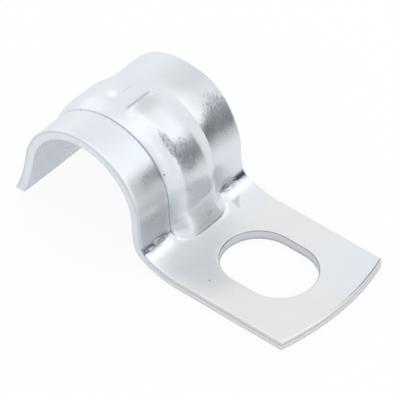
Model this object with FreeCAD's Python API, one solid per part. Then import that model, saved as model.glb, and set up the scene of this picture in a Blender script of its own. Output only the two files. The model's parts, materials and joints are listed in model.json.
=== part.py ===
"""One-hole conduit strap, pressed from a single piece of zinc-plated steel strip.

The strap lies along Y and is as wide as its strip along X, the conduit's own direction.
Z = 0 is the underside of the pad, which is screwed down, and the origin is the middle of
its slotted hole. The arch over the conduit is on the +Y side and ends in a flared toe.
Angles are in degrees, seen along X with Y to the right. Lengths are in millimetres.
"""
import FreeCAD, Part
import math
import os

# Strip
strip_thickness = 1.5
strip_width = 21.6
edge_break = 0.3             # soft edge that blanking leaves on the outer face

# Arch over the conduit
conduit_radius = 9.0
arch_axis_height = 7.08      # conduit's axis above the underside of the pad

# Free leg and its flared toe
toe_clearance = 1.5          # toe's end above the underside of the pad
leg_lean = 8.0               # lean of the free leg where it leaves the arch
toe_lean = 22.0              # lean of the free leg at its end

# Wall, bend and upswept root of the pad
wall_lean = 12.0             # lean of the wall where the bend starts
root_sweep = 28.0            # slope of the root where the bend ends
bend_radius = 1.35           # inside radius of the bend, on the outer face
root_radius = 11.7           # radius of the root, on the outer face

# Pad and its slotted hole
slot_length = 14.5
slot_width = 11.0
slot_margin = 0.22           # flat metal between the root and the slot
pad_end_margin = 3.75        # metal between the slot and the line of the pad's corners
pad_end_crown = 1.5          # how far the rounded end stands out beyond that line

# Stiffening rib, pressed outward, so that the inner face has a matching groove
rib_foot_width = 9.6
rib_tuck = 0.2               # how deep the foot of the rib is buried in the strip
crest_edge_share = 0.9       # height along the edges of the crest, against its middle

# Height of the rib's crest above the outer face
swell_height = 0.75          # low swell on the free leg
swell_start_share = 1 / 6    # of that height, where the leg meets the arch
swell_rise_share = 0.85      # of that height, halfway up to its peak
saddle_height = 0.35         # dip where the swell meets the crest, on top of the arch
step_height = 0.7            # crest just past its end
shoulder_height = 1.0
wall_height = 1.2
bend_height = 1.6            # the crest spans the bend and stiffens it
root_height = 1.05

# Width of the rib's crest
swell_width = 5.2
step_width = 4.7
wall_width = 6.0
toe_width = 7.4

# Where along the strip the rib changes
rib_start_lean = 10.0        # lean of the free leg where the rib starts
swell_angle = 46.0
saddle_angle = 88.0
step_angle = 97.0
step_run = 5.0               # how much of the arch the step takes
shoulder_angle = 135.0
gusset_sweep = 4.0           # how far past the bend the crest is still high
rib_end_sweep = 14.5         # slope of the root where the rib ends

# Sizes of the tools only
touching = 1e-4              # distance under which a point counts as lying on a face
blank_allowance = 1.0        # the side view is drawn this much wider than the blank
groove_tool_depth = 0.8      # reach of the groove's tool below the inner face


def sine(angle):
    return math.sin(math.radians(angle))


def cosine(angle):
    return math.cos(math.radians(angle))


class Stretch:
    """A stretch of the strip's side view, bent about one centre.

    `inner` is the radius of the face towards the conduit. `outward` is 1 where the outer
    face is further from the centre, as on the arch, and -1 where it is nearer.
    """

    def __init__(self, centre, inner, outward, start, end):
        self.centre = centre
        self.inner = inner
        self.outward = outward
        self.start = start
        self.end = end

    def point(self, angle, depth, x=0.0):
        """Point at this depth of metal above the inner face."""
        radius = self.inner + self.outward * depth
        across = FreeCAD.Vector(0, cosine(angle), sine(angle))
        return self.centre + FreeCAD.Vector(x, 0, 0) + across * radius

    def edge(self, depth, end=None):
        """Arc along the stretch, at this depth of metal above the inner face."""
        end = self.end if end is None else end
        angles = (self.start, (self.start + end) / 2, end)
        return Part.Arc(*[self.point(angle, depth) for angle in angles]).toShape()

    def angle_at_height(self, height, depth):
        """Angle past 180 at which a face falls to this height."""
        radius = self.inner + self.outward * depth
        return 180 + math.degrees(math.asin((self.centre.z - height) / radius))


def draw_root():
    inner = root_radius + strip_thickness
    centre = FreeCAD.Vector(0, slot_length / 2 + slot_margin, inner)
    return Stretch(centre, inner, -1, -90, root_sweep - 90)


def draw_bend(root):
    inner = bend_radius + strip_thickness
    return Stretch(root.point(root.end, inner), inner, -1, root.end, -wall_lean)


def draw_wall(bend):
    """Wall whose radius brings it, upright, to the height of the conduit's axis."""
    rise = arch_axis_height - bend.point(bend.end, 0).z
    inner = rise / sine(wall_lean)
    return Stretch(bend.point(bend.end, inner), inner, -1, bend.end, 0)


def draw_arch(wall):
    centre = wall.point(wall.end, 0) + FreeCAD.Vector(0, conduit_radius, 0)
    return Stretch(centre, conduit_radius, 1, 180, leg_lean)


def draw_leg(arch):
    """Free leg whose radius brings its end down to the toe clearance."""
    drop = arch.point(arch.end, 0).z - toe_clearance
    inner = drop / (sine(toe_lean) - sine(leg_lean))
    return Stretch(arch.point(arch.end, inner), inner, -1, 180 + leg_lean, 180 + toe_lean)


root = draw_root()
bend = draw_bend(root)
wall = draw_wall(bend)
arch = draw_arch(wall)
leg = draw_leg(arch)

pad_corner_y = -(slot_length / 2 + pad_end_margin)
pad_tip_y = pad_corner_y - pad_end_crown


def bent_strip():
    """Strip of constant thickness, bent to the side view."""
    toe_end = leg.angle_at_height(toe_clearance, strip_thickness)
    tip_low = FreeCAD.Vector(0, pad_tip_y - blank_allowance, 0)
    tip_high = tip_low + FreeCAD.Vector(0, 0, strip_thickness)
    stretches = (root, bend, wall, arch)
    inner = [stretch.edge(0) for stretch in stretches] + [leg.edge(0)]
    outer = [stretch.edge(strip_thickness) for stretch in stretches]
    outer.append(leg.edge(strip_thickness, toe_end))
    pad_low = Part.makeLine(tip_low, root.point(root.start, 0))
    pad_high = Part.makeLine(tip_high, root.point(root.start, strip_thickness))
    tip = Part.makeLine(tip_low, tip_high)
    toe = Part.makeLine(leg.point(leg.end, 0), leg.point(toe_end, strip_thickness))
    edges = Part.__sortEdges__([tip, pad_low] + inner + [toe] + outer + [pad_high])
    face = Part.Face(Part.Wire(edges))
    width = strip_width + 2 * blank_allowance
    face.translate(FreeCAD.Vector(-width / 2, 0, 0))
    return face.extrude(FreeCAD.Vector(width, 0, 0))


def slot_prism(height):
    """Obround through the pad, with its long axis along Y."""
    half_width = slot_width / 2
    half_straight = slot_length / 2 - half_width
    right_low = FreeCAD.Vector(half_width, -half_straight, 0)
    right_high = FreeCAD.Vector(half_width, half_straight, 0)
    left_high = FreeCAD.Vector(-half_width, half_straight, 0)
    left_low = FreeCAD.Vector(-half_width, -half_straight, 0)
    far = FreeCAD.Vector(0, slot_length / 2, 0)
    near = FreeCAD.Vector(0, -slot_length / 2, 0)
    edges = [
        Part.makeLine(right_low, right_high),
        Part.Arc(right_high, far, left_high).toShape(),
        Part.makeLine(left_high, left_low),
        Part.Arc(left_low, near, right_low).toShape(),
    ]
    face = Part.Face(Part.Wire(edges))
    face.translate(FreeCAD.Vector(0, 0, -height / 2))
    return face.extrude(FreeCAD.Vector(0, 0, height))


def blank_prism(height):
    """Plan of the blank, with its square toe and its rounded pad end, level with Z = 0."""
    half = strip_width / 2
    back_y = leg.point(leg.end, strip_thickness).y + blank_allowance
    corner_left = FreeCAD.Vector(-half, pad_corner_y, 0)
    corner_right = FreeCAD.Vector(half, pad_corner_y, 0)
    tip = FreeCAD.Vector(0, pad_tip_y, 0)
    back_right = FreeCAD.Vector(half, back_y, 0)
    back_left = FreeCAD.Vector(-half, back_y, 0)
    edges = [
        Part.Arc(corner_left, tip, corner_right).toShape(),
        Part.makeLine(corner_right, back_right),
        Part.makeLine(back_right, back_left),
        Part.makeLine(back_left, corner_left),
    ]
    face = Part.Face(Part.Wire(edges))
    face.translate(FreeCAD.Vector(0, 0, -height / 2))
    return face.extrude(FreeCAD.Vector(0, 0, height))


def is_outer_rim(edge):
    """True for the long edges of the outer face and for the top edge of the pad's end."""
    middle = edge.valueAt((edge.FirstParameter + edge.LastParameter) / 2)
    on_side = abs(abs(middle.x) - strip_width / 2) < touching
    if middle.y < pad_corner_y:
        return middle.z > strip_thickness / 2 and not on_side
    if not on_side:
        return False
    if middle.y < root.centre.y:
        return middle.z > strip_thickness / 2
    for stretch in (root, bend, wall, arch, leg):
        radius = stretch.inner + stretch.outward * strip_thickness
        reach = (middle - stretch.centre - FreeCAD.Vector(middle.x, 0, 0)).Length
        if abs(reach - radius) < touching:
            return True
    return False


def rib_stations():
    """Places along the strip, with the height and half the width of the rib's crest."""
    swell_rise = (leg_lean + swell_angle) / 2
    swell_fall = (swell_angle + saddle_angle) / 2
    bend_middle = (bend.start + bend.end) / 2
    root_middle = (root.end + rib_end_sweep - 90) / 2
    shoulder_width = (step_width + wall_width) / 2
    return (
        (leg, 180 + rib_start_lean, -rib_tuck, swell_width / 2),
        (arch, leg_lean, swell_height * swell_start_share, swell_width / 2),
        (arch, swell_rise, swell_height * swell_rise_share, swell_width / 2),
        (arch, swell_angle, swell_height, swell_width / 2),
        (arch, swell_fall, (swell_height + saddle_height) / 2, swell_width / 2),
        (arch, saddle_angle, saddle_height, step_width / 2),
        (arch, step_angle - step_run, saddle_height, step_width / 2),
        (arch, step_angle, step_height, step_width / 2),
        (arch, shoulder_angle, shoulder_height, shoulder_width / 2),
        (arch, arch.start, wall_height, wall_width / 2),
        (wall, wall.start / 2, wall_height, wall_width / 2),
        (bend, bend_middle, bend_height, toe_width / 2),
        (root, root.end - gusset_sweep, root_height, toe_width / 2),
        (root, root_middle, root_height / 2, toe_width / 2),
        (root, rib_end_sweep - 90, -rib_tuck, toe_width / 2),
    )


def rib_curve(share, side, lift, level=None):
    """Curve along the rib, with its two ends.

    `share` is how much of the crest's height the curve has, and `side` is -1, 0 or 1
    across the strap. A curve with no height follows the foot. `level`, where it is
    given, is a fixed depth of metal in place of the height.
    """
    points = []
    for stretch, angle, height, half_width in rib_stations():
        x = side * (half_width if share > 0 else rib_foot_width / 2)
        raised = height * share - rib_tuck * (1 - share)
        depth = strip_thickness + raised + lift if level is None else level
        points.append(stretch.point(angle, depth, x))
    curve = Part.BSplineCurve()
    curve.interpolate(points)
    return curve.toShape(), points[0], points[-1]


def rib_section(share, side, lift, level):
    """Closed outline along the rib, or along the tool that presses its groove."""
    crest, crest_start, crest_end = rib_curve(share, side, lift)
    floor, floor_start, floor_end = rib_curve(share, side, lift, level)
    starting = Part.makeLine(floor_start, crest_start)
    ending = Part.makeLine(crest_end, floor_end)
    return Part.Wire([crest, ending, floor, starting])


def rib_loft(lift, level):
    """Rounded ridge, lofted across the strap from foot to foot over the crest."""
    shares = ((0.0, -1), (crest_edge_share, -1), (1.0, 0), (crest_edge_share, 1), (0.0, 1))
    sections = [rib_section(share, side, lift, level) for share, side in shares]
    return Part.makeLoft(sections, True, False)


def make_strap():
    arch_top = arch_axis_height + conduit_radius + strip_thickness
    height = 2 * (arch_top + blank_allowance)
    blank = blank_prism(height).cut(slot_prism(height))
    strip = bent_strip().common(blank)
    rims = [edge for edge in strip.Edges if is_outer_rim(edge)]
    strip = strip.makeChamfer(edge_break, rims)
    ridge = rib_loft(0.0, strip_thickness / 2)
    groove = rib_loft(-strip_thickness, -groove_tool_depth)
    return strip.fuse(ridge).cut(groove).removeSplitter()


os.makedirs("parts", exist_ok=True)
strap = make_strap()
strap.exportStep("parts/strap.step")
print("arch axis at y %.3f, z %.3f" % (arch.centre.y, arch.centre.z))
print("solids %d, valid %s, volume %.1f" % (len(strap.Solids), strap.isValid(), strap.Volume))
box = strap.BoundBox
print("box x %.2f %.2f  y %.2f %.2f  z %.2f %.2f" % (
    box.XMin, box.XMax, box.YMin, box.YMax, box.ZMin, box.ZMax))
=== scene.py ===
# %% [markdown]
# # A one-hole conduit strap
#
# The strap is a single piece of zinc-plated steel strip. A press cuts the blank, punches
# the slotted hole, bends the strip over the conduit and pushes a stiffening rib outward.
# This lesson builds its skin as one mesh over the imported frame, then gives it the bright,
# slightly blue finish of zinc plating. Lengths below are in millimetres, and they turn
# into metres only when a mesh is made.

import json
import math
import random

import bpy
import numpy as np
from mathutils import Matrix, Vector


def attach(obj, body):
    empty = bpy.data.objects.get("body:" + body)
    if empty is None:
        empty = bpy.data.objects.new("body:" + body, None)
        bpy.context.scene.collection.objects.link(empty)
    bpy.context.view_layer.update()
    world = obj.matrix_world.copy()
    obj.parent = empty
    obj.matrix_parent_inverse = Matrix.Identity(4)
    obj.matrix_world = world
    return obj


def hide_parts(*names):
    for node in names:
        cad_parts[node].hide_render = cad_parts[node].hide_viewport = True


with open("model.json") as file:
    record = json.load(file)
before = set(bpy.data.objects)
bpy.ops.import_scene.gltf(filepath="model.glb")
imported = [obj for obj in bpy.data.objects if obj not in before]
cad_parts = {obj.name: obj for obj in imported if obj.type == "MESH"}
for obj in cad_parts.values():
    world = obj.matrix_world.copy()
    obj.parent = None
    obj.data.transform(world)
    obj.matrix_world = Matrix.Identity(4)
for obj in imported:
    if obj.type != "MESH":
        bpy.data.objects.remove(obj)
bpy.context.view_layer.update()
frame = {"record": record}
scene = bpy.context.scene
MM = 0.001

# %% [markdown]
# ## Sizes
#
# The arch, the strip's width and the slot are interfaces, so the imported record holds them.
# The rest are the strip's own gauge and bend radii, named once here. The origin is the
# middle of the slot on the underside of the pad, and the conduit runs along X.

# %% Read the interfaces and name the press work
mounts = {mount["name"]: mount for mount in frame["record"]["mounts"]}
conduit = mounts["conduit_seat"]
slot = mounts["fixing_slot"]
arch_y = conduit["pos_m"][1] / MM
arch_z = conduit["pos_m"][2] / MM
conduit_radius = conduit["dims"]["r_mm"]
strip_width = conduit["dims"]["length_mm"]
half_strip = strip_width / 2
slot_length = slot["dims"]["slot_length_mm"]
slot_width = 2 * slot["dims"]["hole_r_mm"]

gauge = 1.5
bend_radius = 1.35
root_radius = 11.7
root_sweep = 28.0
wall_lean = 12.0
leg_lean = 8.0
toe_lean = 22.0
toe_clearance = 1.5
pad_tip_y = -12.5
pad_crown = 1.5
root_y = 7.47
print("strip %.1f wide, arch radius %.1f at y %.2f" % (strip_width, conduit_radius, arch_y))

# %% [markdown]
# ## The side view
#
# Seen along the conduit, the strip is a chain of tangent arcs: root, bend, wall, arch and
# leg. Each arc is kept as a centre, the radius of its inner face and its two end angles.
# Where the outer face lies nearer the centre than the inner one, `outward` is -1.

# %% One arc of the side view
class Stretch:
    def __init__(self, centre, inner, outward, start, end):
        self.centre = np.array(centre, float)
        self.inner = inner
        self.outward = outward
        self.start = start
        self.end = end
        middle = inner + outward * gauge / 2
        self.length = abs(math.radians(end - start)) * middle

    def point(self, angle, depth):
        """(y, z) at this depth of metal above the inner face."""
        turn = math.radians(angle)
        radius = self.inner + self.outward * depth
        return self.centre + radius * np.array([math.cos(turn), math.sin(turn)])


quarter = Stretch((0, 0), conduit_radius, 1, 180, 90)
print("a quarter turn over the conduit takes %.2f mm of strip" % quarter.length)

# %% Chain the arcs
def sine(angle):
    return math.sin(math.radians(angle))


root_inner = root_radius + gauge
root = Stretch((root_y, root_inner), root_inner, -1, -90, root_sweep - 90)
bend_inner = bend_radius + gauge
bend = Stretch(root.point(root.end, bend_inner), bend_inner, -1, root.end, -wall_lean)
bend_top = bend.point(bend.end, 0)
wall_inner = (arch_z - bend_top[1]) / sine(wall_lean)
wall = Stretch(bend.point(bend.end, wall_inner), wall_inner, -1, bend.end, 0)
arch = Stretch((arch_y, arch_z), conduit_radius, 1, 180, leg_lean)
leg_inner = (arch.point(leg_lean, 0)[1] - toe_clearance) / (sine(toe_lean) - sine(leg_lean))
leg_centre = arch.point(leg_lean, leg_inner)
leg = Stretch(leg_centre, leg_inner, -1, 180 + leg_lean, 180 + toe_lean)
stretches = (root, bend, wall, arch, leg)
strip_run = sum(stretch.length for stretch in stretches)
pad_run = root_y - pad_tip_y
print("run of the strip past the pad: %.2f mm" % strip_run)

# %% [markdown]
# ## Walking along the strip
#
# Every place on the strip has a run: the distance along the middle of the metal from the
# start of the root, negative on the pad. One helper turns a run and a depth into a point
# of the side view, and another gives the run of an angle on a stretch. Two more helpers
# draw a smooth curve through a few chosen values, and a soft step from 0 to 1.

# %% Helpers that walk the strip
def walk(run, depth):
    """(y, z) of the plain strip at this run and depth."""
    if run <= 0:
        return np.array([root_y + run, depth])
    for stretch in stretches:
        if run <= stretch.length or stretch is leg:
            share = run / stretch.length
            return stretch.point(stretch.start + share * (stretch.end - stretch.start), depth)
        run -= stretch.length


def run_at(stretch, angle):
    before = sum(other.length for other in stretches[:stretches.index(stretch)])
    share = (angle - stretch.start) / (stretch.end - stretch.start)
    return before + share * stretch.length


print("the arch starts %.2f mm along the strip" % run_at(arch, arch.start))

# %% Smooth curves and ramps
def smooth_through(stops, values, place):
    """Smooth curve through values at rising stops, level beyond them."""
    stops, values = np.asarray(stops, float), np.asarray(values, float)
    place = np.clip(place, stops[0], stops[-1])
    slopes = np.gradient(values, stops, axis=0)
    i = int(np.clip(np.searchsorted(stops, place) - 1, 0, len(stops) - 2))
    step = stops[i + 1] - stops[i]
    t = (place - stops[i]) / step
    a, b = values[i], values[i + 1]
    return (a * (2 * t**3 - 3 * t**2 + 1) + b * (3 * t**2 - 2 * t**3)
            + step * (slopes[i] * (t**3 - 2 * t**2 + t) + slopes[i + 1] * (t**3 - t**2)))


def ramp(value, start, end):
    """0 before the start, 1 after the end, and smooth between them."""
    t = np.clip((value - start) / (end - start), 0, 1)
    return t * t * (3 - 2 * t)


print("half a ramp:", ramp(0.5, 0, 1))

# %% [markdown]
# ## The stiffening rib
#
# The rib is pressed outward over the arch and runs down the wall to gusset the bend. It
# has two levels: a broad hump with a crisp front crease, and a narrower crest on it that
# starts at an abrupt edge on top of the arch. Each level is a height along the run, and
# an outline in plan. Over the bend an offset of the face would fold, so the levels are
# carried there by the gusset, a nearly straight facet that leans at about 59 degrees. Its
# few points are listed one by one.

# %% Heights of the two levels
toe_run = run_at(root, 15.4 - 90)
wall_run = run_at(wall, -6)
crest_run = run_at(arch, 95.5)
level_step = 0.5

crest_heights = [(wall_run, 1.22), (run_at(arch, 178), 1.15), (run_at(arch, 135), 1.0),
                 (run_at(arch, 104), 0.8), (crest_run, 0.72)]
hump_heights = [(wall_run, 1.08), (run_at(arch, 178), 1.0), (run_at(arch, 155), 0.78),
                (run_at(arch, 135), 0.62),
                (run_at(arch, 100), 0.42), (run_at(arch, 88), 0.36), (run_at(arch, 67), 0.55),
                (run_at(arch, 46), 0.75), (run_at(arch, 27), 0.6), (run_at(arch, 12), 0.15),
                (run_at(leg, 190), 0.0), (strip_run, 0.0)]
gusset = [(3.6, 10.77, 2.08), (3.9, 10.92, 2.34), (4.6, 11.18, 2.76), (5.4, 11.48, 3.26),
          (6.3, 11.83, 3.84), (7.2, 12.15, 4.40), (8.2, 12.46, 4.98)]
gusset_share = 0.9
print("crest %.2f mm high at the wall, hump %.2f" % (crest_heights[0][1], hump_heights[0][1]))

# %% Points of a level
def height_along(stops, run):
    return float(smooth_through([stop[0] for stop in stops], [stop[1] for stop in stops], run))


def level_points(heights, share):
    """Runs and points of a level: straight down the gusset, then over the strip."""
    runs = [toe_run]
    points = [walk(toe_run, gauge)]
    for run, y, z in gusset:
        plain = walk(run, gauge)
        runs.append(run)
        points.append(plain + share * (np.array([y, z]) - plain))
    for run in np.arange(wall_run + level_step, strip_run + level_step, level_step):
        runs.append(run)
        points.append(walk(run, gauge + height_along(heights, run)))
    return runs, points


print("%d points carry a level along the strip" % len(level_points(crest_heights, 1.0)[0]))

# %% Tables of the plain strip and of the two levels
table_step = 0.05
standstill = 1e-9
groove_fade = 2.0
table_runs = np.arange(-pad_run - 1, strip_run + 1, table_step)
plain_table = {"outer": np.array([walk(run, gauge) for run in table_runs]),
               "inner": np.array([walk(run, 0.0) for run in table_runs])}


def along_table(table, run):
    return np.stack([np.interp(run, table_runs, table[:, 0]),
                     np.interp(run, table_runs, table[:, 1])], axis=-1)


def level_tables(heights, share):
    """Shift from the plain strip to a level, on the outer and on the inner face."""
    runs, points = level_points(heights, share)
    outer = np.array([smooth_through(runs, points, run) for run in table_runs])
    outer[table_runs < toe_run] = plain_table["outer"][table_runs < toe_run]
    ahead = np.gradient(outer, axis=0)
    facing = np.stack([-ahead[:, 1], ahead[:, 0]], axis=-1)
    # Past the end of the strip a level stands still and has no direction.
    facing /= np.maximum(np.linalg.norm(facing, axis=1), standstill)[:, None]
    inner = outer - gauge * facing
    fade = ramp(table_runs, toe_run, toe_run + groove_fade)[:, None]
    return {"outer": outer - plain_table["outer"],
            "inner": (inner - plain_table["inner"]) * fade}


hump_shift = level_tables(hump_heights, gusset_share)
crest_shift = level_tables(crest_heights, 1.0)
print("rib toe at y %.2f" % walk(toe_run, gauge)[0])

# %% Outlines of the two levels in plan
outline_stops = [toe_run, wall_run, run_at(arch, 150), run_at(arch, 90), run_at(arch, 20)]
toe_corner_reach = 2.6
toe_squareness = 3.2


def front_crease(run):
    return -smooth_through(outline_stops, [5.3, 4.7, 4.75, 5.05, 5.5], run)


def back_crease(run):
    return smooth_through(outline_stops, [5.2, 5.2, 4.9, 4.4, 4.2], run)


def crest_half(run):
    return smooth_through([toe_run, wall_run, run_at(arch, 135), crest_run],
                          [3.2, 2.8, 2.45, 2.35], run)


def toe_retreat(x, run):
    """How far the toe draws back towards its corners."""
    across = np.clip(np.abs(x) / -front_crease(run), 0, 1)
    return toe_corner_reach * (1 - np.sqrt(1 - across**toe_squareness))


print("crest half width %.2f to %.2f" % (crest_half(crest_run), crest_half(toe_run)))

# %% Lift of the rib above the plain strip
groove_narrowing = 0.35
flank_width = 2.6
flank_power = 1.7
soft_flank = (-1.2, 3.4)


def rib_lift(run, x, side):
    """(y, z) shift of each point of a row, on the outer or the inner face."""
    narrow = 0.0 if side == "outer" else groove_narrowing
    here = run - toe_retreat(x, run)
    hump = along_table(hump_shift[side], here)
    crest = along_table(crest_shift[side], here) - hump
    front, back = -front_crease(run) - narrow, back_crease(run) - narrow
    reach = np.where(x < 0, front, back) - np.abs(x)
    climb = 1 - np.clip(1 - reach / flank_width, 0, 1) ** flank_power
    crisp = np.where(reach > 0, climb, 0)
    soft = ramp(reach, *soft_flank)
    softness = ramp(run, run_at(arch, 130), run_at(arch, 92)) * (x > 0)
    rise = crisp * (1 - softness) + soft * softness
    edge = crest_half(run) - narrow
    width = 1.0 + 1.0 * ramp(run, run_at(arch, 150), wall_run)
    raised = ramp(edge + 0.15 + x, -width, width) * ramp(back - x, 0.2, 3.6)
    raised = raised * ramp(crest_run - run, 0, 0.35)
    return rise[:, None] * hump + raised[:, None] * crest


print("lift in mid crest:", np.round(rib_lift(run_at(arch, 135), np.array([0.0]), "outer"), 2))

# %% [markdown]
# ## Marks of the press
#
# A pressed strip is never a perfect sheet. A narrow line is coined along the front foot
# of the rib, the free band behind the rib springs outward a little at its shoulder, and a
# shallow dimple lies past the end of the crest. These could be bump in the material, but
# bump leaves the outline of the strap as it was, so they are small shifts square to the
# face, added to the same rows.

# %% Small shifts square to the face
shoulder_bulge = 0.32
dimple_run = crest_run + 3.5
dimple_x = -1.2
dimple_depth, dimple_radius = 0.12, 0.5
coined_depth, coined_half_width = 0.15, 0.075
out_of_reach = 9.0


def line(distance, half_width):
    """1 on a line, fading to 0 about one and a half half-widths from it."""
    return np.exp(-(distance / half_width) ** 2)


def from_front_crease(run, x):
    """Distance across from the rib's front foot, out of reach before the rib's toe."""
    before_toe = run - toe_retreat(x, run) < toe_run
    return np.abs(x - front_crease(run)) + out_of_reach * before_toe


def press_marks(run, x, side):
    """Height of the press marks along a row."""
    bulge = (ramp(run, run_at(arch, 160), run_at(arch, 122))
             * ramp(run, run_at(arch, 92), run_at(arch, 118)))
    marks = shoulder_bulge * bulge * ramp(x, 4.0, 7.5)
    from_dimple = np.hypot(run - dimple_run, x - dimple_x)
    marks = marks - dimple_depth * line(from_dimple, dimple_radius)
    if side == "outer":
        marks = marks - coined_depth * line(from_front_crease(run, x), coined_half_width)
    return marks


shoulders = press_marks(run_at(arch, 125), np.array([-8.0, 8.0]), "outer")
print("marks on the near and far shoulder:", np.round(shoulders, 2))

# %% [markdown]
# ## Sheared edges
#
# A punch leaves the same edge everywhere: the outer face rolls over where the punch went
# in, then comes a burnished band, and a rough line where the metal broke near the inner
# face. The profile is modelled, because these narrow bands catch the light all round.

# %% Profile of the sheared edge
roll_width = 0.3
roll_depth = 0.16
# Going down from the rolled corner: height above the inner face, how far the metal is
# drawn in, and how dark it is painted: partly the broken metal, partly painted shade on the
# break line, and at the foot a painted contact shadow.
edge_depths = np.array([1.24, 1.0, 0.9, 0.82, 0.74, 0.64, 0.4, 0.16, 0.03])
edge_insets = np.array([0.0, 0.0, 0.01, 0.05, 0.05, 0.01, 0.0, 0.0, 0.04])
edge_marks_and_shade = np.array([0.05, 0.15, 0.55, 0.7, 0.5, 0.05, 0.0, 0.15, 0.7])


def roll_over(from_side, from_end):
    """Drop of the outer face near the long sides and the pad's end."""
    a = np.clip(1 - from_side / roll_width, 0, 1)
    b = np.clip(1 - from_end / roll_width, 0, 1)
    return roll_depth * (1 - np.sqrt(1 - np.clip(a * a + b * b, 0, 1)))


def pad_end(x):
    """Y of the crowned end of the pad."""
    radius = (half_strip**2 + pad_crown**2) / (2 * pad_crown)
    return pad_tip_y + radius - np.sqrt(radius**2 - x**2)


print("pad end from %.2f to %.2f" % (pad_end(half_strip), pad_end(0)))

# %% [markdown]
# ## One closed sheet
#
# The skin could be a plane with a Solidify modifier, but the groove inside the rib is
# narrower than the rib outside, and the edges need their own profile. So each row of the
# mesh is a closed ring round the metal: outer face, edge, inner face and edge. The rows
# are close together where the rib and the bend turn sharply.

# %% Columns across and rows along the strip
roll_turns = 7


def spread(start, end, count):
    return np.linspace(start, end, count, endpoint=False)


def columns(run):
    """X of each column, drawn to the creases and to the crest's edges.

    Each stop is an x and the number of columns from there to the next stop."""
    front, back, crest = front_crease(run), back_crease(run), crest_half(run)
    rim = half_strip - roll_width
    left = [-rim - roll_width * math.sin(a) for a in np.linspace(math.pi / 2, 0, roll_turns)]
    stops = [(-rim, 9), (front - 0.6, 4), (front - 0.12, 4), (front + 0.12, 5),
             (front + 0.8, 5), (-crest - 0.5, 9), (-crest + 0.6, 10), (crest - 0.6, 9),
             (crest + 0.5, 5), (back - 0.8, 5), (back - 0.12, 4), (back + 0.12, 4),
             (back + 0.6, 15), (rim, 0)]
    x = list(left[:-1])
    for (start, count), (end, _) in zip(stops, stops[1:]):
        x += list(spread(start, end, count))
    return np.array(x + [-value for value in reversed(left)])


def rows():
    """Run of each row, drawn to the pad's end, the rib's toe and the crest's end."""
    turns = np.linspace(0, math.pi / 2, roll_turns)
    tip = [-pad_run + roll_width * (1 - math.cos(a)) for a in turns]
    parts = [tip[:-1], spread(tip[-1], 0, 20), spread(0, toe_run - 1, 5),
             spread(toe_run - 1, wall_run, 75), spread(wall_run, crest_run - 0.5, 75),
             spread(crest_run - 0.5, crest_run + 0.2, 12),
             spread(crest_run + 0.2, run_at(leg, 190), 60),
             np.linspace(run_at(leg, 190), strip_run, 14)]
    return np.concatenate(parts)


print("%d columns, %d rows" % (len(columns(5.0)), len(rows())))

# %% Points across one face
inner_inset = 0.05
level_reach = 2.0


def level_cut(run, depth):
    """Run that keeps the end of the leg level, as the blank was cut."""
    near_end = ramp(run, strip_run - level_reach, strip_run)
    return run + depth * math.tan(math.radians(toe_lean)) * near_end


def face_row(run, x, side):
    """Points across one face of the sheet at this run, as (x, y, z)."""
    depth = gauge if side == "outer" else 0.0
    here = level_cut(run, depth)
    plain = walk(here, depth)
    outward = walk(here, depth + 0.01) - plain
    outward = outward / np.linalg.norm(outward)
    points = np.empty((len(x), 3))
    points[:, 0] = x
    points[:, 1:] = plain + rib_lift(run, x, side)
    points[:, 1:] += press_marks(run, x, side)[:, None] * outward
    from_end = np.full(len(x), out_of_reach)
    if run < 0:
        points[:, 1] = root_y + run * (root_y - pad_end(x)) / pad_run
        from_end = points[:, 1] - pad_end(x)
    if side == "outer":
        drop = roll_over(half_strip - np.abs(x), from_end)
        points[:, 1:] -= drop[:, None] * outward
    return points


top_of_crest = face_row(crest_run - 1, np.array([0.0]), "outer")[0]
print("the crest ends %.2f mm above the surface" % top_of_crest[2])

# %% One closed ring of points
def edge_points(run, side):
    """Points down one long edge, from the outer face to the inner one."""
    points = []
    bow = press_marks(run, np.array([side * half_strip]), "inner")[0]
    for depth, inset in zip(edge_depths, edge_insets):
        y, z = walk(level_cut(run, depth), depth + bow)
        if run < 0:
            y = root_y + run * (root_y - pad_end(half_strip)) / pad_run
        points.append((side * (half_strip - inset), y, z))
    return np.array(points)


def ring(run):
    """Outer face, far edge, inner face and near edge, as one loop."""
    x = columns(run)
    outer = face_row(run, x, "outer")
    inner = face_row(run, x * (half_strip - inner_inset) / half_strip, "inner")[::-1]
    return np.vstack([outer, edge_points(run, 1), inner, edge_points(run, -1)[::-1]])


print("points in a ring:", len(ring(5.0)))

# %% [markdown]
# ## Wear, painted shade and painted highlights on the finish
#
# A strap that was tumbled and boxed with others is scuffed where it bulges and galled where
# the die closed the bend. Much of what is kept here is painted light, though: the dull
# patches are painted shade and painted dark reflections of a real room, which a plain
# stage doesn't have; the bright lines are painted highlights; the dark lines along the
# crease and at the crest's end are painted shade; and the scuffs and the galling are partly
# painted dark reflections and a painted shadow at the bend. An image could carry all this,
# but it would need a flat map of the surface. Here each kind is a number from 0 to 1, worked
# out from the run and the place across, and kept on the mesh's own points for the plating
# to read by name.

# %% Soft patches on the outer face
wear_and_light_kinds = ("scuff_and_shade", "dull_and_shade", "mark_and_shade", "painted_highlight", "gall_and_shadow", "blue")
bend_run = run_at(bend, bend.start)
# Middle of each patch as a run and an x, its reach along and across, and its strength.
# Scuffs of real nicks that partly stand for painted dark reflections on the crest and the far
# band; the last, by the rib's toe, is painted shade on a facet.
scuff_and_shade_patches = [(run_at(arch, 148), -0.1, 3.6, 2.5, 1.0),
                 (run_at(arch, 133), -1.9, 3.0, 1.0, 1.0),
                 (run_at(arch, 140), 8.6, 4.6, 4.6, 1.0),
                 (5.8, 1.0, 1.7, 1.2, 0.7)]
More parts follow.
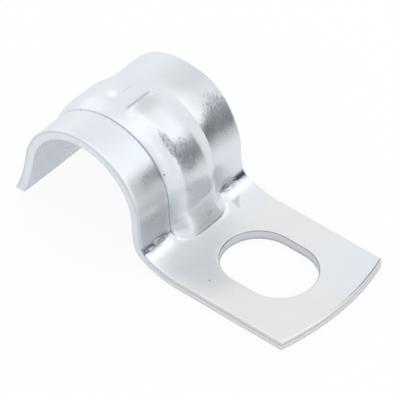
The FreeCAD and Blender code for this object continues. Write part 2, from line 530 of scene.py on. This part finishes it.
# Painted shade and painted dark reflections on the pad by the bend, and on the facet where the
# crest starts.
shade_patches = [(-2.5, -6.5, 5.5, 5.0, 1.0),
                (2.5, -1.5, 3.5, 6.0, 1.0),
                (2.2, -7.0, 2.6, 4.5, 0.9),
                (run_at(arch, 102), 0.2, 1.6, 2.6, 1.0)]


def spot(run, x, middle, reach):
    """1 at a place on the outer face, fading to 0 at an elliptical reach from it."""
    away = ((run - middle[0]) / reach[0]) ** 2 + ((x - middle[1]) / reach[1]) ** 2
    return np.exp(-2 * away**1.5)


def patched(run, x, patches):
    return sum(strength * spot(run, x, (along, across), (length, width))
               for along, across, length, width, strength in patches)


print("%d scuffed and %d dull patches" % (len(scuff_and_shade_patches), len(shade_patches)))

# %% Painted shade and dark reflections on the zinc
def wedge_shadow(run, x):
    """A painted shadow: a small wedge beside the back foot of the rib."""
    return (ramp(bend_run - 1.5 - run, 0, 0.3) * ramp(x, 5.5, 5.9)
            * ramp(run - toe_run + 1.0 - (x - 5.5), 0, 0.4))


def painted_shade(run, x):
    # Painted dark reflections on the front wall by the bend and on the far band, plus the painted
    # shade of the patches and the wedge's painted shadow.
    front_wall = (ramp(-x, 4.8, 5.6) * ramp(run, bend_run, bend_run + 1)
                  * ramp(run, run_at(arch, 150), run_at(arch, 165)))
    far_band = (ramp(x, 4.6, 6.6) * ramp(run, run_at(arch, 160), run_at(arch, 140))
                * ramp(run, run_at(arch, 75), run_at(arch, 112)))
    return 0.9 * far_band + patched(run, x, shade_patches) + front_wall + wedge_shadow(run, x)


print("dullness high on the far band: %.2f" % painted_shade(run_at(arch, 120), np.array([8.0]))[0])

# %% Dark marks, painted shade and painted highlights
scratch_half_width = 0.1
crest_half_end = 2.6


def scratches(run, x):
    """One scratch on the far side of the wall, and a fainter one past the crest."""
    far = (line(run - wall_run + 1.5, scratch_half_width)
           * ramp(x, 6.0, 6.6) * ramp(9.0 - x, 0, 1.5))
    top = line(run - crest_run - 2.5, 0.12) * ramp(x, 0.0, 0.5) * ramp(2.0 - x, 0, 0.5)
    return far + 0.3 * top


def dark_marks_and_shade(run, x):
    # Painted shade: a dark line in the front crease, and one at the crest's end where the step
    # turns away. The scratches are real; the wedge adds its painted shadow.
    crease = (line(from_front_crease(run, x), 0.08)
              * ramp(run, strip_run - 3, run_at(arch, 30)))
    crest_end = line(run - crest_run - 0.05, 0.16) * ramp(crest_half_end - np.abs(x), 0, 0.4)
    return (np.maximum(0.85 * crease, 0.7 * crest_end) + scratches(run, x)
            + 0.2 * wedge_shadow(run, x))


def free_sides(x):
    """1 on the two bands beside the rib."""
    return ramp(np.abs(x), 5.4, 6.4)


def painted_highlights(run, x):
    """Painted highlights where light would catch the crest's end, the dimple, the foot of the
    bend and the fillet round the toe.
    """
    past_toe = run - toe_retreat(x, run) - toe_run
    return (1.4 * line(run - crest_run + 0.42, 0.28) * ramp(2.5 - np.abs(x), 0, 0.4)
            + spot(run, x, (dimple_run, dimple_x), (1.0, 0.8))
            + line(run - bend_run + 0.9, 0.7) * free_sides(x)
            + line(past_toe + 0.25, 0.3) * ramp(5.4 - np.abs(x), 0, 0.5))


print("mark on the front crease: %.2f" % dark_marks_and_shade(15.0, np.array([front_crease(15.0)]))[0])

# %% Wear and painted light of a row and of a ring
corner_mark = 0.35
toe_end_mark = 0.8
mark_and_shade_column = wear_and_light_kinds.index("mark_and_shade")
blue_column = wear_and_light_kinds.index("blue")


def row_wear_and_light(run, x):
    """The outer face's wear and painted light across a row, one column for each kind."""
    # Galling at the foot of the wall: partly real draw marks, partly a painted shadow and dark
    # reflection along the bend.
    gall_and_shadow = spot(run, 0, (bend_run + 0.8, 0), (1.1, 1)) * free_sides(x)
    blue = ramp(run, -2, 5) + spot(run, x, (-18, 8), (8, 9))
    kinds = [patched(run, x, scuff_and_shade_patches), painted_shade(run, x), dark_marks_and_shade(run, x),
             painted_highlights(run, x), gall_and_shadow, blue]
    return np.clip(np.stack(kinds, axis=1), 0, 1)


def ring_wear_and_light(run):
    """Wear and painted light of each point of a ring, one column for each kind."""
    x = columns(run)
    wear_and_light = np.zeros((2 * len(x) + 2 * len(edge_depths), len(wear_and_light_kinds)))
    wear_and_light[:len(x)] = row_wear_and_light(run, x)
    pad = ramp(run, 6.0, 2.0)
    # Dark lines down the long edges: the break line, partly painted shade, and a painted contact
    # shadow at the foot.
    wear_and_light[len(x):len(x) + len(edge_depths), mark_and_shade_column] = edge_marks_and_shade * pad
    wear_and_light[-len(edge_depths):, mark_and_shade_column] = edge_marks_and_shade[::-1] * pad
    for corner in (0, -1, len(x) - 1, len(x)):
        wear_and_light[corner, mark_and_shade_column] = corner_mark
    wear_and_light[len(x):, blue_column] = ramp(run, -2, 5)
    if run == strip_run:
        wear_and_light[len(x) + len(edge_depths):-len(edge_depths), mark_and_shade_column] = toe_end_mark
    return wear_and_light


print("kinds of wear:", ", ".join(wear_and_light_kinds))

# %% [markdown]
# ## From rings to a mesh
#
# The rings could be bridged one by one in edit mode. In a script it is simpler to stack
# all their points, join each ring to the next with four-sided faces, and close the pad's
# end and the leg's end with rows of faces that follow the edge's profile.

# %% Join the rings
runs = rows()
rings = [ring(run) for run in runs]
across = len(columns(0.0))
edge = len(edge_depths)
points = np.vstack(rings)
wear_and_light = np.vstack([ring_wear_and_light(run) for run in runs])
size = len(rings[0])
faces = []
for row in range(len(rings) - 1):
    for i in range(size):
        j = (i + 1) % size
        a, b = row * size, (row + 1) * size
        faces.append((a + i, a + j, b + j, b + i))
print("%d faces round the metal" % len(faces))

# %% Close both ends
def end_line(row, k, outer, inner):
    """Points across an end face at one depth of the edge's profile."""
    share = (gauge - edge_depths[k]) / gauge
    middle = outer + (inner - outer) * share
    if row == 0:
        middle[:, 1] = pad_end(middle[:, 0]) + edge_insets[k]
        middle[:, 2] = edge_depths[k]
    return middle[1:-1]


def close_end(points, wear_and_light, row, flip):
    """Adds the end face, whose rows run from one long edge to the other."""
    first = row * size
    top = [first + i for i in range(across)]
    bottom = [first + across + edge + i for i in range(across)][::-1]
    lines = [top]
    extra = []
    for k in range(edge):
        start = len(points) + len(extra)
        extra += list(end_line(row, k, points[top], points[bottom]))
        between = list(range(start, len(points) + len(extra)))
        lines.append([first + size - 1 - k] + between + [first + across + k])
    lines.append(bottom)
    for upper, lower in zip(lines, lines[1:]):
        for i in range(across - 1):
            quad = (upper[i], upper[i + 1], lower[i + 1], lower[i])
            faces.append(quad[::-1] if flip else quad)
    cap = np.zeros((len(extra), len(wear_and_light_kinds)))
    if row == 0:
        # The edges' dark lines across the pad's end, with the painted contact shadow at the foot.
        cap[:, mark_and_shade_column] = np.repeat(edge_marks_and_shade, across - 2)
    return np.vstack([points, np.array(extra)]), np.vstack([wear_and_light, cap])


points, wear_and_light = close_end(points, wear_and_light, 0, True)
points, wear_and_light = close_end(points, wear_and_light, len(rings) - 1, False)
print("%d points, %d faces" % (len(points), len(faces)))

# %% Make the strap's mesh
sharp_corner = math.radians(28)
mesh = bpy.data.meshes.new("strap_skin")
mesh.from_pydata((points * MM).tolist(), [], faces)
for column, name in enumerate(wear_and_light_kinds):
    layer = mesh.attributes.new(name, "FLOAT", "POINT")
    layer.data.foreach_set("value", wear_and_light[:, column].astype(np.float32))
strap = bpy.data.objects.new("strap_skin", mesh)
scene.collection.objects.link(strap)
mesh.shade_smooth()
mesh.set_sharp_from_angle(angle=sharp_corner)
print("strap in mm:", [round(length / MM, 2) for length in strap.dimensions])

# %% [markdown]
# ## The slotted hole
#
# The slot is punched after the blank is cut, so it has the same rolled-over rim. The rim
# could be a bevel, but a bevel needs clean edges to follow. Instead a cutter with a flared
# top is made as a stack of slot outlines and taken out with a Boolean.

# %% Outline of the slot
def slot_outline(grow, height, count=20):
    radius = slot_width / 2 + grow
    straight = (slot_length - slot_width) / 2
    outline = []
    for k in range(2 * count):
        half_turn = k // count
        turn = math.pi * (k % count) / (count - 1) + math.pi * half_turn
        middle = straight if half_turn == 0 else -straight
        outline.append((radius * math.cos(turn), middle + radius * math.sin(turn), height))
    return outline


print("slot outline of %d points" % len(slot_outline(0.0, 0.0)))

# %% Stack the outlines into a cutter
rim_width, rim_depth = 0.2, 0.2
rim_turns = 8
break_out = 0.02
overshoot = 0.005
# Each level of the stack is how far the outline grows, and its height.
stack = [(break_out, -1.0), (break_out, 0.08), (break_out, 0.35), (0.0, 0.4), (0.0, 0.8)]
stack += [(rim_width * (1 - math.cos(t)),
           gauge - rim_depth + (rim_depth + overshoot) * math.sin(t))
          for t in np.linspace(0, math.pi / 2, rim_turns)]
stack += [(rim_width + 0.05, gauge + 0.01), (rim_width + 0.05, gauge + 2)]
outlines = [slot_outline(grow, height) for grow, height in stack]
count = len(outlines[0])
cutter_points = [point for outline in outlines for point in outline]
cutter_faces = [(r * count + i, r * count + (i + 1) % count,
                 (r + 1) * count + (i + 1) % count, (r + 1) * count + i)
                for r in range(len(stack) - 1) for i in range(count)]
cutter_faces.append(tuple(range(count))[::-1])
cutter_faces.append(tuple((len(stack) - 1) * count + i for i in range(count)))
print("cutter: %d outlines of %d points" % (len(outlines), count))

# %% Punch the slot
punch_mesh = bpy.data.meshes.new("slot_punch")
punch_mesh.from_pydata((np.array(cutter_points) * MM).tolist(), [], cutter_faces)
punch_mesh.shade_smooth()
punch = bpy.data.objects.new("slot_punch", punch_mesh)
scene.collection.objects.link(punch)
cut = strap.modifiers.new("slot", "BOOLEAN")
cut.operation = "DIFFERENCE"
cut.solver = "EXACT"
cut.object = punch
depsgraph = bpy.context.evaluated_depsgraph_get()
punched = bpy.data.meshes.new_from_object(strap.evaluated_get(depsgraph))
strap.modifiers.clear()
strap.data = punched
bpy.data.objects.remove(punch)
punched.shade_smooth()
punched.set_sharp_from_angle(angle=sharp_corner)
print("faces after the punch:", len(punched.polygons))

# %% [markdown]
# ## The slot's wall
#
# A punched wall is duller than the rolled faces, with a dark line where the rim rolls over
# and another where the metal tore off. The punch made new points, so their wear is stored
# now. The points level with the outer face are left alone, so that nothing bleeds onto it.

# %% Store the wear of the slot's wall
wall_dullness = 0.8
rim_mark, torn_mark = 0.9, 0.8
place = np.empty(len(punched.vertices) * 3)
punched.vertices.foreach_get("co", place)
place = place.reshape(-1, 3) / MM
past_straight = np.clip(np.abs(place[:, 1]) - (slot_length - slot_width) / 2, 0, None)
from_wall = np.hypot(place[:, 0], past_straight) - slot_width / 2
height = place[:, 2]
on_wall = (from_wall < rim_width + 0.02) & (height < gauge - 0.015)
on_rim = height > gauge - 0.15
on_torn_line = (height > 0.05) & (height < 0.1)
wall_marks = on_wall * (rim_mark * on_rim + torn_mark * on_torn_line)
for name, values in (("dull_and_shade", wall_dullness * on_wall), ("mark_and_shade", wall_marks)):
    layer = punched.attributes[name].data
    painted_already = np.empty(len(layer))
    layer.foreach_get("value", painted_already)
    layer.foreach_set("value", np.maximum(painted_already, values).astype(np.float32))
print("points on the slot's wall:", int(on_wall.sum()))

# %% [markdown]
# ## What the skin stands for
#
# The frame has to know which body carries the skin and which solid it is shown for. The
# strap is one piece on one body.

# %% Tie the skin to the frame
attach(strap, "root")
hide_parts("strap")
print("skin on body root, shown for node strap")

# %% [markdown]
# ## Zinc plating
#
# Bright zinc is a thin metal coat over rolled steel. It mirrors the room softly and is a
# little blue. The whole strap has one finish, because it is plated after pressing. One
# metallic shader is enough: its base colour is mixed step by step, from the two tones of
# the coat to each kind of wear and of painted light and shade, so that every step can be seen by
# itself.

# %% Start the material
zinc = bpy.data.materials.new("bright_zinc")
zinc.use_nodes = True
nodes, links = zinc.node_tree.nodes, zinc.node_tree.links
shader = nodes["Principled BSDF"]
shader.inputs["Metallic"].default_value = 1.0
where = nodes.new("ShaderNodeTexCoord")
print("material:", zinc.name)

# %% Helpers for patterns
def noise(scale, detail=3.0, roughness=0.5, stretch=(1, 1, 1)):
    """Noise with features about 1/scale of a metre, finer where stretch is above 1."""
    node = nodes.new("ShaderNodeTexNoise")
    node.inputs["Scale"].default_value = scale
    node.inputs["Detail"].default_value = detail
    node.inputs["Roughness"].default_value = roughness
    place = nodes.new("ShaderNodeMapping")
    place.inputs["Scale"].default_value = stretch
    links.new(where.outputs["Object"], place.inputs["Vector"])
    links.new(place.outputs["Vector"], node.inputs["Vector"])
    return node.outputs["Fac"]


def graded(source, low, high):
    """Turns a value into a colour, between two (value, colour) ends."""
    node = nodes.new("ShaderNodeValToRGB")
    for element, (place, colour) in zip(node.color_ramp.elements, (low, high)):
        element.position = place
        element.color = (*colour, 1)
    links.new(source, node.inputs["Fac"])
    return node.outputs["Color"]


def grey(tone):
    return (tone, tone, tone)


black, white = grey(0), grey(1)
print("two ends of a pattern:", black, white)

# %% Helpers for mixing
def stored(name):
    """One kind of wear, as it is kept on the mesh."""
    node = nodes.new("ShaderNodeAttribute")
    node.attribute_name = name
    return node.outputs["Fac"]


def math_node(operation, first, second, third=None):
    node = nodes.new("ShaderNodeMath")
    node.operation = operation
    for socket, value in zip(node.inputs, (first, second, third)):
        if isinstance(value, bpy.types.NodeSocket):
            links.new(value, socket)
        elif value is not None:
            socket.default_value = value
    return node.outputs[0]


def blended(colour, by, other):
    """The first colour where `by` is 0, and the other where it is 1."""
    node = nodes.new("ShaderNodeMix")
    node.data_type = "RGBA"
    links.new(by, node.inputs["Factor"])
    links.new(colour, node.inputs[6])
    if isinstance(other, tuple):
        node.inputs[7].default_value = (*other, 1)
    else:
        links.new(other, node.inputs[7])
    return node.outputs[2]


print("nodes so far:", len(nodes))

# %% Two tones of the coat
# Near white for the painted highlights.
highlight_zinc = (0.95, 0.97, 0.98)
# Grey for the painted shade and dark reflections, and for the slot's duller wall.
dull_and_shade_zinc = (0.64, 0.66, 0.69)
cloud = noise(110, 2.0)
grey_zinc = graded(cloud, (0.3, (0.775, 0.785, 0.79)), (0.7, (0.80, 0.805, 0.80)))
blue_zinc = graded(cloud, (0.3, (0.745, 0.79, 0.845)), (0.7, (0.775, 0.815, 0.865)))
colour = blended(grey_zinc, stored("blue"), blue_zinc)
colour = blended(colour, stored("painted_highlight"), highlight_zinc)
colour = blended(colour, stored("dull_and_shade"), dull_and_shade_zinc)
print("greyer on the pad, bluer on the arch, then rubbed and dull")

# %% [markdown]
# ## Scuffs, galling, dark lines and painted shade
#
# A scuff isn't an even stain: it is many small nicks, thick in the middle and thinning
# out. So noise is added to the stored strength, and only what passes a threshold is dark.
# Galling is drawn out along the bend, so its noise is stretched that way. The scuffs and the
# galling are partly painted dark reflections, the galling also a painted shadow at the bend,
# and the dark lines are partly painted shade in the crease and down the edges.

# %% Colours of the wear and of the painted shade
scuff_and_shade_zinc = (0.29, 0.32, 0.37)
gall_and_shadow_zinc = (0.14, 0.16, 0.18)
mark_and_shade_zinc = (0.36, 0.4, 0.47)
nick_stretch = (1.2, 1, 0.5)
gall_and_shadow_stretch = (0.4, 1.4, 1.4)
speckle = noise(2300, 5.0, 0.7, nick_stretch)
# The scuffs' dark nicks, partly painted dark reflections.
spread_out = math_node("MULTIPLY_ADD", stored("scuff_and_shade"), 0.6, speckle)
nicks_and_shade = graded(math_node("SUBTRACT", spread_out, 0.5), (0.34, black), (0.72, white))
colour = blended(colour, nicks_and_shade, scuff_and_shade_zinc)
# Dark streaks of galling, partly a painted shadow at the bend.
gall_and_shadow_streaks = graded(noise(1100, 4.0, 0.7, gall_and_shadow_stretch), (0.41, black), (0.49, white))
colour = blended(colour, math_node("MULTIPLY", stored("gall_and_shadow"), gall_and_shadow_streaks), gall_and_shadow_zinc)
# Dark marks, with painted shade in the crease, at the crest's end and down the edges.
colour = blended(colour, stored("mark_and_shade"), mark_and_shade_zinc)
print("nodes so far:", len(nodes))

# %% [markdown]
# ## Pits
#
# Here and there the coat has a bare pit, like the point of a pin. Where they fall is
# chance, so a seeded draw scatters them, away from the slot, and each is a small ball
# round a point of the outer face.

# %% Scatter the pits
pit_count = 5
pit_radius = 0.14
pit_margin = 1
bare_steel = (0.3, 0.3, 0.32)
scatter = random.Random(4)
pits = []
while len(pits) < pit_count:
    run = scatter.uniform(pit_margin - pad_run, strip_run - pit_margin)
    x = scatter.uniform(pit_margin - half_strip, half_strip - pit_margin)
    beside_slot = (abs(x) > slot_width / 2 + pit_margin
                   or abs(root_y + run) > slot_length / 2 + pit_margin)
    if beside_slot:
        pits.append(face_row(run, np.array([x]), "outer")[0])
pitted = None
for pit in pits:
    from_pit = nodes.new("ShaderNodeVectorMath")
    from_pit.operation = "DISTANCE"
    links.new(where.outputs["Object"], from_pit.inputs[0])
    from_pit.inputs[1].default_value = pit * MM
    inside = math_node("LESS_THAN", from_pit.outputs["Value"], pit_radius * MM)
    pitted = math_node("MAXIMUM", inside, pitted) if pitted else inside
colour = blended(colour, pitted, bare_steel)
links.new(colour, shader.inputs["Base Color"])
print("pits at", [tuple(round(float(c), 1) for c in pit) for pit in pits])

# %% [markdown]
# ## Gloss and grain
#
# The coat's gloss wanders a little from place to place. The rolled steel under it has a
# fine grain, which shows where dark and light reflections meet, and the nicks have depth.
# Both are about a tenth of a millimetre deep or less, too fine for the mesh, so they are
# bump.

# %% Gloss of the coat
gloss = graded(noise(420, 3.0), (0.3, grey(0.25)), (0.7, grey(0.36)))
links.new(gloss, shader.inputs["Roughness"])
print("roughness from 0.25 to 0.36")

# %% Grain of the steel and depth of the nicks
grain_depth = 0.013
nick_depth = 0.12
grain = nodes.new("ShaderNodeBump")
grain.inputs["Strength"].default_value = 1.0
grain.inputs["Distance"].default_value = grain_depth * MM
links.new(noise(3400, 4.0, 0.6), grain.inputs["Height"])
nicked = nodes.new("ShaderNodeBump")
nicked.inputs["Distance"].default_value = nick_depth * MM
links.new(nicks_and_shade, nicked.inputs["Strength"])
links.new(noise(1700, 6.0, 0.75, nick_stretch), nicked.inputs["Height"])
links.new(grain.outputs["Normal"], nicked.inputs["Normal"])
links.new(nicked.outputs["Normal"], shader.inputs["Normal"])
strap.data.materials.clear()
strap.data.materials.append(zinc)
print("finish:", zinc.name, "with", len(nodes), "nodes")

# %% [markdown]
# ## Floor and room
#
# Polished metal looks like what stands round it, so the strap lies in a plain white room.
# More light would clip the metal, so the floor turns white by itself: where the camera
# looks at it, most of it is replaced by white light of strength 1, and less of it in
# reflections. The rest of the floor stays a painted surface, which keeps the shadow.

# %% Pale floor
floor_drop = 0.05
white_share = {"Is Camera Ray": 0.9, "Is Glossy Ray": 0.4, "Is Transmission Ray": 0.4}
bpy.ops.mesh.primitive_plane_add(size=4, location=(0, 0, -floor_drop * MM))
floor = bpy.context.object
floor.name = "studio_floor"
paint = bpy.data.materials.new("pale_floor")
paint.use_nodes = True
paper = paint.node_tree
matt = paper.nodes["Principled BSDF"]
matt.inputs["Base Color"].default_value = (*grey(0.88), 1)
matt.inputs["Roughness"].default_value = 0.9
floor.data.materials.append(paint)
print("floor under the pad by %.2f mm" % floor_drop)

# %% White where the camera looks
path = paper.nodes.new("ShaderNodeLightPath")
total = None
for ray, share in white_share.items():
    add = paper.nodes.new("ShaderNodeMath")
    add.operation = "MULTIPLY_ADD"
    add.inputs[1].default_value = share
    add.inputs[2].default_value = 0.0
    paper.links.new(path.outputs[ray], add.inputs[0])
    if total:
        paper.links.new(total.outputs[0], add.inputs[2])
    total = add
glowing = paper.nodes.new("ShaderNodeEmission")
mix = paper.nodes.new("ShaderNodeMixShader")
paper.links.new(total.outputs[0], mix.inputs["Fac"])
paper.links.new(matt.outputs["BSDF"], mix.inputs[1])
paper.links.new(glowing.outputs["Emission"], mix.inputs[2])
paper.links.new(mix.outputs["Shader"], paper.nodes["Material Output"].inputs["Surface"])
print("share of white:", white_share)

# %% White room
scene.view_settings.view_transform = "Standard"
room = bpy.data.worlds.new("white_room")
scene.world = room
room.use_nodes = True
room.node_tree.nodes["Background"].inputs["Color"].default_value = (1, 1, 1, 1)
room.node_tree.nodes["Background"].inputs["Strength"].default_value = 1.0
print("room:", room.name)

# %% [markdown]
# ## Lamps
#
# Three large soft lamps add to the room: one overhead, one in front and one behind. Small
# lamps would leave hard points of light in the metal, so each is a wide area lamp. Its
# power is worked out from the brightness wanted on its face, so that a lamp can change
# size and still look the same in the metal.

# %% Places round the strap
def toward(bearing, height, distance):
    """Place at a bearing from the pad's end, turning to the +X side."""
    b, h = math.radians(bearing), math.radians(height)
    return Vector((math.sin(b) * math.cos(h), -math.cos(b) * math.cos(h), math.sin(h))) * distance


def soft_lamp(name, place, size, glow):
    lamp = bpy.data.lights.new(name, "AREA")
    lamp.shape = "RECTANGLE"
    lamp.size, lamp.size_y = size
    lamp.energy = glow * math.pi * size[0] * size[1]
    holder = bpy.data.objects.new(name, lamp)
    holder.location = place
    scene.collection.objects.link(holder)
    return holder


def aimed_lamp(name, bearing, height, distance, size, glow):
    place = toward(bearing, height, distance)
    holder = soft_lamp(name, place, size, glow)
    holder.rotation_euler = (-place).to_track_quat("-Z", "Y").to_euler()


def overhead_lamp(name, height, edge_bearing, offset, reach, left, right, glow):
    """Level lamp whose straight edge runs along a bearing, `offset` beyond the strap."""
    along = toward(edge_bearing, 0, 1.0)
    beyond = toward(edge_bearing + 90, 0, 1.0)
    middle = along * (right - left) / 2 + beyond * (offset - reach / 2)
    place = middle + Vector((0, 0, height))
    holder = soft_lamp(name, place, (left + right, reach), glow)
    holder.rotation_euler = (0, 0, math.atan2(along.y, along.x))


print("the camera's side is toward", [round(c, 2) for c in toward(-49.7, 42.6, 1.0)])

# %% Hang the lamps
ceiling = 0.7
overhead_lamp("overhead_light", ceiling, 38.9, offset=0.363 * ceiling, reach=0.75 * ceiling,
              left=0.5 * ceiling, right=2.1 * ceiling, glow=0.24)
aimed_lamp("front_light", 19, 24, 0.9, (0.5, 0.66), 0.24)
aimed_lamp("fill_light", 166, 26, 0.9, (0.5, 0.5), 0.2)

# %% [markdown]
# ## Cards for the reflections
#
# A white room alone would leave the metal without form. So a dark card stands close to
# the strap, by the far corner of the pad, and a grey one well off on the camera's side.
# They light no matt surface and cast no shadow: only reflections see them. A ray that has
# bounced before sees a paler card, or the foot of the wall would go too dark.

# %% Shading of a card
bounced_tone = 0.62


def card_felt(name, tones):
    """Emission shaded from the card's foot to its top."""
    felt = bpy.data.materials.new(name)
    felt.use_nodes = True
    tree = felt.node_tree
    place = tree.nodes.new("ShaderNodeTexCoord")
    split = tree.nodes.new("ShaderNodeSeparateXYZ")
    shade = tree.nodes.new("ShaderNodeValToRGB")
    while len(shade.color_ramp.elements) < len(tones):
        shade.color_ramp.elements.new(0.5)
    for element, (rise, tone) in zip(shade.color_ramp.elements, tones):
        element.position = rise
        element.color = (*grey(tone), 1)
    path = tree.nodes.new("ShaderNodeLightPath")
    bounced = tree.nodes.new("ShaderNodeMath")
    bounced.operation = "GREATER_THAN"
    bounced.inputs[1].default_value = 1.5
    pale = tree.nodes.new("ShaderNodeMix")
    pale.data_type = "RGBA"
    pale.inputs[7].default_value = (*grey(bounced_tone), 1)
    glow = tree.nodes.new("ShaderNodeEmission")
    output = tree.nodes["Material Output"]
    for source, target in ((place.outputs["Generated"], split.inputs["Vector"]),
                           (split.outputs["Z"], shade.inputs["Fac"]),
                           (path.outputs["Ray Depth"], bounced.inputs[0]),
                           (bounced.outputs[0], pale.inputs["Factor"]),
                           (shade.outputs["Color"], pale.inputs[6]),
                           (pale.outputs[2], glow.inputs["Color"]),
                           (glow.outputs["Emission"], output.inputs["Surface"])):
        tree.links.new(source, target)
    return felt


print("tone after a bounce:", bounced_tone)

# %% Stand the cards
arch_middle = 0.014


def card(name, bearing, distance, width, height, tones):
    """An upright card that only reflections see, facing the arch."""
    out = toward(bearing, 0, 1.0)
    middle = out * distance + Vector((0, arch_middle, 0))
    side = Vector((out.y, -out.x, 0)) * width / 2
    up = Vector((0, 0, height))
    mesh = bpy.data.meshes.new(name)
    mesh.from_pydata([middle - side, middle + side, middle + side + up, middle - side + up],
                     [], [(0, 1, 2, 3)])
    board = bpy.data.objects.new(name, mesh)
    scene.collection.objects.link(board)
    board.visible_camera = board.visible_diffuse = board.visible_shadow = False
    board.data.materials.append(card_felt(name + "_felt", tones))


black_tones = [(0.0, 0.8), (0.2, 0.68), (0.4, 0.15), (0.8, 0.12), (1.0, 0.35)]
grey_tones = [(0.0, 0.62), (0.5, 0.66), (1.0, 0.7)]
card("black_card", 40, 0.036, 0.024, 0.030, black_tones)
card("grey_card", -50, 0.9, 1.1, 0.62, grey_tones)
print("the dark card's foot is at tone", black_tones[0][1])

# %% [markdown]
# ## Camera
#
# A small part is pictured from far off with a long lens, so that its edges stay nearly
# parallel. The camera stands over the near corner of the pad, on the side away from the
# dark card, and looks at a place low in the middle of the strap.

# %% Set up the camera
camera_bearing, camera_height = -49.7, 42.6
target = Vector((0.00131, 0.01352, 0.00440))
distance, view_width = 0.648, 0.0551
lens = bpy.data.cameras.new("camera")
lens.sensor_width = 36
lens.lens = lens.sensor_width * distance / view_width
lens.clip_start = 0.01
camera = bpy.data.objects.new("camera", lens)
camera.location = target + toward(camera_bearing, camera_height, distance)
camera.rotation_euler = (target - camera.location).to_track_quat("-Z", "Y").to_euler()
scene.collection.objects.link(camera)
scene.camera = camera
print("lens %.0f mm" % lens.lens)
